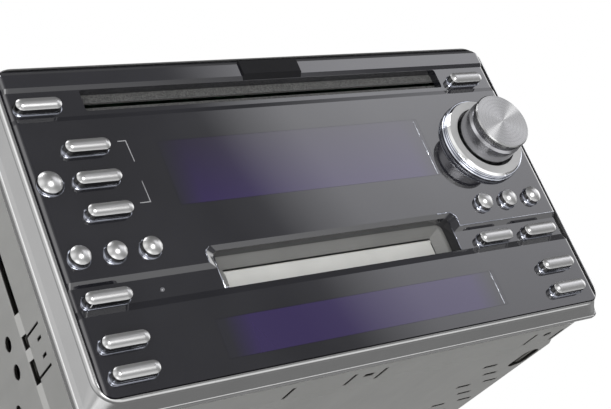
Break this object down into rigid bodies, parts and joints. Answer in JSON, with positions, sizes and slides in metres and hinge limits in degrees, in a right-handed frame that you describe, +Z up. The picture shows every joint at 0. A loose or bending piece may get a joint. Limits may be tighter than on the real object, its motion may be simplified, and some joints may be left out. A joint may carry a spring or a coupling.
{
  "type": "car cd player",
  "caption": "Double-height car disc player with a glossy face, slots for two kinds of disc, sprung buttons, a turning and pushing volume knob and a folded steel case.",
  "frame": {"origin": "centre of the bounding box's foot: middle of the width and of the depth, at the foot of the trim ring's flange", "axes": "+X to the right as seen from in front of the face, +Y into the dashboard, +Z up"},
  "size_m": [0.1816, 0.1906, 0.1018],
  "materials": {
    "case_steel": "plain zinc-plated sheet",
    "bezel_silver": "satin silver paint",
    "face_black": "high gloss",
    "badge_black": "gloss, bare",
    "window_violet": "clear tinted lens",
    "display_dark": "unlit display",
    "button_silver": "satin silver",
    "knob_silver": "satin silver",
    "cap_aluminium": "spun",
    "collar_silver": "bright steps, matte front",
    "felt_dark": "short pile",
    "md_grey": "matte",
    "flap_grey": "matte",
    "board_green": "solder-masked laminate",
    "switch_black": "moulded",
    "mech_steel": "pressed sheet",
    "pin_steel": "ground",
    "sink_aluminium": "plain casting",
    "tin_plate": "tinned",
    "capacitor_sleeve": "shrunk sleeve",
    "chip_black": "moulded",
    "socket_plastic": "moulded",
    "damper_rubber": "soft",
    "roller_rubber": "soft",
    "pickup_black": "moulded",
    "clamper_white": "moulded",
    "screw_zinc": "zinc-plated"
  },
  "bodies": {
    "head_unit": {"chassis": "case_steel", "top_cover": "case_steel", "rear_panel": "case_steel", "heat_sink": "sink_aluminium", "front_bezel": "bezel_silver", "face_panel": "face_black", "badge_tab": "badge_black", "main_window": "window_violet", "lower_window": "window_violet", "main_display": "display_dark", "lower_display": "display_dark", "slot_felts": "felt_dark", "md_slot_frame": "md_grey", "knob_collar": "collar_silver", "encoder_housing": "switch_black", "tact_switches": "switch_black", "front_board": "board_green", "main_board": "board_green", "tuner_module": "tin_plate", "power_capacitors": "capacitor_sleeve", "amplifier_module": "chip_black", "wiring_socket": "socket_plastic", "antenna_socket": "tin_plate", "case_screws": "screw_zinc", "cd_deck": "mech_steel", "cd_deck_roof": "mech_steel", "guide_rods": "pin_steel", "deck_dampers": "damper_rubber", "deck_bracket": "mech_steel", "spindle_motor": "tin_plate", "md_deck_case": "mech_steel"},
    "encoder_rotor": {"encoder_rotor": "switch_black"},
    "volume_knob": {"volume_knob": "knob_silver", "knob_cap": "cap_aluminium", "encoder_shaft": "pin_steel"},
    "md_flap": {"md_flap": "flap_grey"},
    "cd_feed_roller": {"cd_feed_roller": "roller_rubber"},
    "cd_turntable": {"cd_turntable": "clamper_white"},
    "cd_pickup": {"cd_pickup": "pickup_black"},
    "cd_clamp_arm": {"cd_clamp_arm": "mech_steel"},
    "cd_clamper": {"cd_clamper": "clamper_white"},
    "button_top_left": {"button_top_left": "button_silver"},
    "button_top_right": {"button_top_right": "button_silver"},
    "button_column_upper": {"button_column_upper": "button_silver"},
    "button_column_middle": {"button_column_middle": "button_silver"},
    "button_column_lower": {"button_column_lower": "button_silver"},
    "button_round_large": {"button_round_large": "button_silver"},
    "button_md_left": {"button_md_left": "button_silver"},
    "button_md_inner": {"button_md_inner": "button_silver"},
    "button_md_outer": {"button_md_outer": "button_silver"},
    "button_lower_left_upper": {"button_lower_left_upper": "button_silver"},
    "button_lower_left_lower": {"button_lower_left_lower": "button_silver"},
    "button_lower_right_upper": {"button_lower_right_upper": "button_silver"},
    "button_lower_right_lower": {"button_lower_right_lower": "button_silver"},
    "button_left_outer": {"button_left_outer": "button_silver"},
    "button_left_middle": {"button_left_middle": "button_silver"},
    "button_left_inner": {"button_left_inner": "button_silver"},
    "button_right_outer": {"button_right_outer": "button_silver"},
    "button_right_middle": {"button_right_middle": "button_silver"},
    "button_right_inner": {"button_right_inner": "button_silver"}
  },
  "joints": [
    {"name": "button_top_left_press", "type": "slide", "parent": "head_unit", "child": "button_top_left", "axis": [0, 1, 0], "range_m": [0, 0.0008], "stiffness_N_per_m": 600, "springref_m": -0.001},
    {"name": "button_top_right_press", "type": "slide", "parent": "head_unit", "child": "button_top_right", "axis": [0, 1, 0], "range_m": [0, 0.0008], "stiffness_N_per_m": 600, "springref_m": -0.001},
    {"name": "button_column_upper_press", "type": "slide", "parent": "head_unit", "child": "button_column_upper", "axis": [0, 1, 0], "range_m": [0, 0.0008], "stiffness_N_per_m": 600, "springref_m": -0.001},
    {"name": "button_column_middle_press", "type": "slide", "parent": "head_unit", "child": "button_column_middle", "axis": [0, 1, 0], "range_m": [0, 0.0008], "stiffness_N_per_m": 600, "springref_m": -0.001},
    {"name": "button_column_lower_press", "type": "slide", "parent": "head_unit", "child": "button_column_lower", "axis": [0, 1, 0], "range_m": [0, 0.0008], "stiffness_N_per_m": 600, "springref_m": -0.001},
    {"name": "button_round_large_press", "type": "slide", "parent": "head_unit", "child": "button_round_large", "axis": [0, 1, 0], "range_m": [0, 0.0008], "stiffness_N_per_m": 600, "springref_m": -0.001},
    {"name": "button_md_left_press", "type": "slide", "parent": "head_unit", "child": "button_md_left", "axis": [0, 1, 0], "range_m": [0, 0.0008], "stiffness_N_per_m": 600, "springref_m": -0.001},
    {"name": "button_md_inner_press", "type": "slide", "parent": "head_unit", "child": "button_md_inner", "axis": [0, 1, 0], "range_m": [0, 0.0008], "stiffness_N_per_m": 600, "springref_m": -0.001},
    {"name": "button_md_outer_press", "type": "slide", "parent": "head_unit", "child": "button_md_outer", "axis": [0, 1, 0], "range_m": [0, 0.0008], "stiffness_N_per_m": 600, "springref_m": -0.001},
    {"name": "button_lower_left_upper_press", "type": "slide", "parent": "head_unit", "child": "button_lower_left_upper", "axis": [0, 1, 0], "range_m": [0, 0.0008], "stiffness_N_per_m": 600, "springref_m": -0.001},
    {"name": "button_lower_left_lower_press", "type": "slide", "parent": "head_unit", "child": "button_lower_left_lower", "axis": [0, 1, 0], "range_m": [0, 0.0008], "stiffness_N_per_m": 600, "springref_m": -0.001},
    {"name": "button_lower_right_upper_press", "type": "slide", "parent": "head_unit", "child": "button_lower_right_upper", "axis": [0, 1, 0], "range_m": [0, 0.0008], "stiffness_N_per_m": 600, "springref_m": -0.001},
    {"name": "button_lower_right_lower_press", "type": "slide", "parent": "head_unit", "child": "button_lower_right_lower", "axis": [0, 1, 0], "range_m": [0, 0.0008], "stiffness_N_per_m": 600, "springref_m": -0.001},
    {"name": "button_left_outer_press", "type": "slide", "parent": "head_unit", "child": "button_left_outer", "axis": [0, 1, 0], "range_m": [0, 0.0008], "stiffness_N_per_m": 600, "springref_m": -0.001},
    {"name": "button_left_middle_press", "type": "slide", "parent": "head_unit", "child": "button_left_middle", "axis": [0, 1, 0], "range_m": [0, 0.0008], "stiffness_N_per_m": 600, "springref_m": -0.001},
    {"name": "button_left_inner_press", "type": "slide", "parent": "head_unit", "child": "button_left_inner", "axis": [0, 1, 0], "range_m": [0, 0.0008], "stiffness_N_per_m": 600, "springref_m": -0.001},
    {"name": "button_right_outer_press", "type": "slide", "parent": "head_unit", "child": "button_right_outer", "axis": [0, 1, 0], "range_m": [0, 0.0008], "stiffness_N_per_m": 600, "springref_m": -0.001},
    {"name": "button_right_middle_press", "type": "slide", "parent": "head_unit", "child": "button_right_middle", "axis": [0, 1, 0], "range_m": [0, 0.0008], "stiffness_N_per_m": 600, "springref_m": -0.001},
    {"name": "button_right_inner_press", "type": "slide", "parent": "head_unit", "child": "button_right_inner", "axis": [0, 1, 0], "range_m": [0, 0.0008], "stiffness_N_per_m": 600, "springref_m": -0.001},
    {"name": "volume_turn", "type": "hinge", "parent": "head_unit", "child": "encoder_rotor", "pos_m": [0.0686, -0.07675, 0.0625], "axis": [0, 1, 0], "continuous": true},
    {"name": "volume_push", "type": "slide", "parent": "encoder_rotor", "child": "volume_knob", "axis": [0, 1, 0], "range_m": [0, 0.0005], "stiffness_N_per_m": 2000, "springref_m": -0.001},
    {"name": "md_flap_swing", "type": "hinge", "parent": "head_unit", "child": "md_flap", "pos_m": [0, -0.0747, 0.034], "axis": [1, 0, 0], "range_deg": [0, 80], "stiffness_Nm_per_rad": 0.0005, "springref_deg": -17.19},
    {"name": "feed_roller_turn", "type": "hinge", "parent": "head_unit", "child": "cd_feed_roller", "pos_m": [0, -0.05675, 0.0838], "axis": [1, 0, 0], "continuous": true},
    {"name": "turntable_spin", "type": "hinge", "parent": "head_unit", "child": "cd_turntable", "pos_m": [0, 0.01025, 0.0839], "axis": [0, 0, 1], "continuous": true},
    {"name": "pickup_travel", "type": "slide", "parent": "head_unit", "child": "cd_pickup", "axis": [1, 0, 0], "range_m": [0, 0.034]},
    {"name": "clamp_arm_lower", "type": "hinge", "parent": "head_unit", "child": "cd_clamp_arm", "pos_m": [0, 0.06425, 0.0919], "axis": [1, 0, 0], "range_deg": [0, 2.5], "stiffness_Nm_per_rad": 0.5, "springref_deg": -5.73},
    {"name": "clamper_spin", "type": "hinge", "parent": "cd_clamp_arm", "child": "cd_clamper", "pos_m": [0, 0.01025, 0.0909], "axis": [0, 0, 1], "continuous": true}
  ],
  "couplings": [
    {"joint": "clamper_spin", "follows": "turntable_spin", "ratio": 1}
  ]
}
